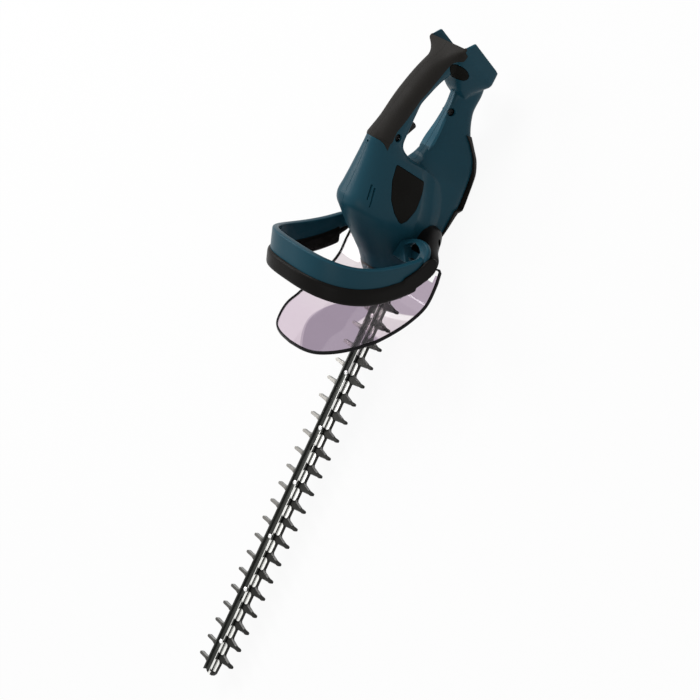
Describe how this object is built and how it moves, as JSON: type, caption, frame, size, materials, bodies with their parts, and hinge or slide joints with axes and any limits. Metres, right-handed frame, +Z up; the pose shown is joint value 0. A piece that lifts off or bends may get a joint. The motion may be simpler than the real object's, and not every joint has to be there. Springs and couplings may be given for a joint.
{
  "type": "hedge trimmer",
  "caption": "Cordless hedge trimmer with a loop rear grip, arched front handle, clear hand guard and a long double-sided toothed blade.",
  "frame": {"origin": "middle of the flat sole under the body", "axes": "+X towards the blade tip, +Y the tool's left side, +Z up"},
  "size_m": [0.889, 0.178, 0.2102],
  "materials": {
    "housing_plastic": "fine moulded texture, dark teal",
    "grip_rubber": "matt soft skin, near black",
    "black_plastic": "matt, near black",
    "clear_plastic": "clear moulded plastic with a pale violet tint",
    "blade_steel": "dark steel with ground bright patches",
    "steel": "plain",
    "brass": "plain",
    "die_cast": "as cast",
    "copper_winding": "lacquered"
  },
  "bodies": {
    "tool": {"housing_left": "housing_plastic", "housing_right": "housing_plastic", "front_handle_frame": "housing_plastic", "grip_overmould_left": "grip_rubber", "grip_overmould_right": "grip_rubber", "side_insert_left": "grip_rubber", "side_insert_right": "grip_rubber", "tail_pad_left": "grip_rubber", "tail_pad_right": "grip_rubber", "base_pad": "grip_rubber", "nose_cover": "black_plastic", "handle_bracket_left": "black_plastic", "handle_bracket_right": "black_plastic", "lever_switch": "black_plastic", "terminal_block": "black_plastic", "trigger_switch": "black_plastic", "motor_end_bell": "black_plastic", "motor_mount": "black_plastic", "battery_lead": "grip_rubber", "motor_lead": "grip_rubber", "guard_plate": "clear_plastic", "lever_pin_left": "steel", "lever_pin_right": "steel", "handle_screw_left": "steel", "handle_screw_right": "steel", "guard_screw_left": "steel", "guard_screw_right": "steel", "trigger_pin": "steel", "grip_screw": "steel", "arm_screw": "steel", "terminal_positive": "brass", "terminal_negative": "brass", "motor_can": "die_cast", "motor_magnet_left": "black_plastic", "motor_magnet_right": "black_plastic", "motor_bearing_lower": "steel", "motor_bearing_upper": "steel", "gear_case": "die_cast", "gear_case_cover": "die_cast", "crank_bearing_upper": "steel", "crank_bearing_lower": "steel", "guide_bar": "blade_steel", "blade_bolt_1": "blade_steel", "blade_bolt_2": "blade_steel", "blade_bolt_3": "blade_steel", "blade_bolt_4": "blade_steel", "blade_bolt_5": "blade_steel", "blade_bolt_6": "blade_steel", "blade_bolt_7": "blade_steel"},
    "trigger": {"rear_trigger": "black_plastic"},
    "switch_lever": {"front_switch_lever": "grip_rubber"},
    "rotor": {"motor_rotor": "copper_winding", "motor_pinion": "steel", "cooling_fan": "black_plastic"},
    "crank": {"crank_gear": "steel"},
    "upper_cutter": {"upper_blade": "blade_steel"},
    "lower_cutter": {"lower_blade": "blade_steel"}
  },
  "joints": [
    {"name": "trigger_pull", "type": "hinge", "parent": "tool", "child": "trigger", "pos_m": [-0.0296, 0, 0.125], "axis": [0, 1, 0], "range_deg": [0, 12], "stiffness_Nm_per_rad": 0.3, "springref_deg": -8.59},
    {"name": "lever_squeeze", "type": "hinge", "parent": "tool", "child": "switch_lever", "pos_m": [0.104, 0, 0.0555], "axis": [0, -1, 0], "range_deg": [0, 2.2], "stiffness_Nm_per_rad": 6, "springref_deg": -4.58},
    {"name": "rotor_spin", "type": "hinge", "parent": "tool", "child": "rotor", "pos_m": [0.049, 0, 0.1], "axis": [0, 0, 1], "continuous": true},
    {"name": "crank_spin", "type": "hinge", "parent": "tool", "child": "crank", "pos_m": [0.077, 0, 0.035], "axis": [0, 0, 1], "continuous": true},
    {"name": "upper_blade_slide", "type": "slide", "parent": "tool", "child": "upper_cutter", "axis": [1, 0, 0], "range_m": [-0.0065, 0.0065]},
    {"name": "lower_blade_slide", "type": "slide", "parent": "tool", "child": "lower_cutter", "axis": [1, 0, 0], "range_m": [-0.0065, 0.0065]}
  ],
  "couplings": [
    {"joint": "crank_spin", "follows": "rotor_spin", "ratio": -0.16667},
    {"joint": "lower_blade_slide", "follows": "upper_blade_slide", "ratio": -1}
  ]
}
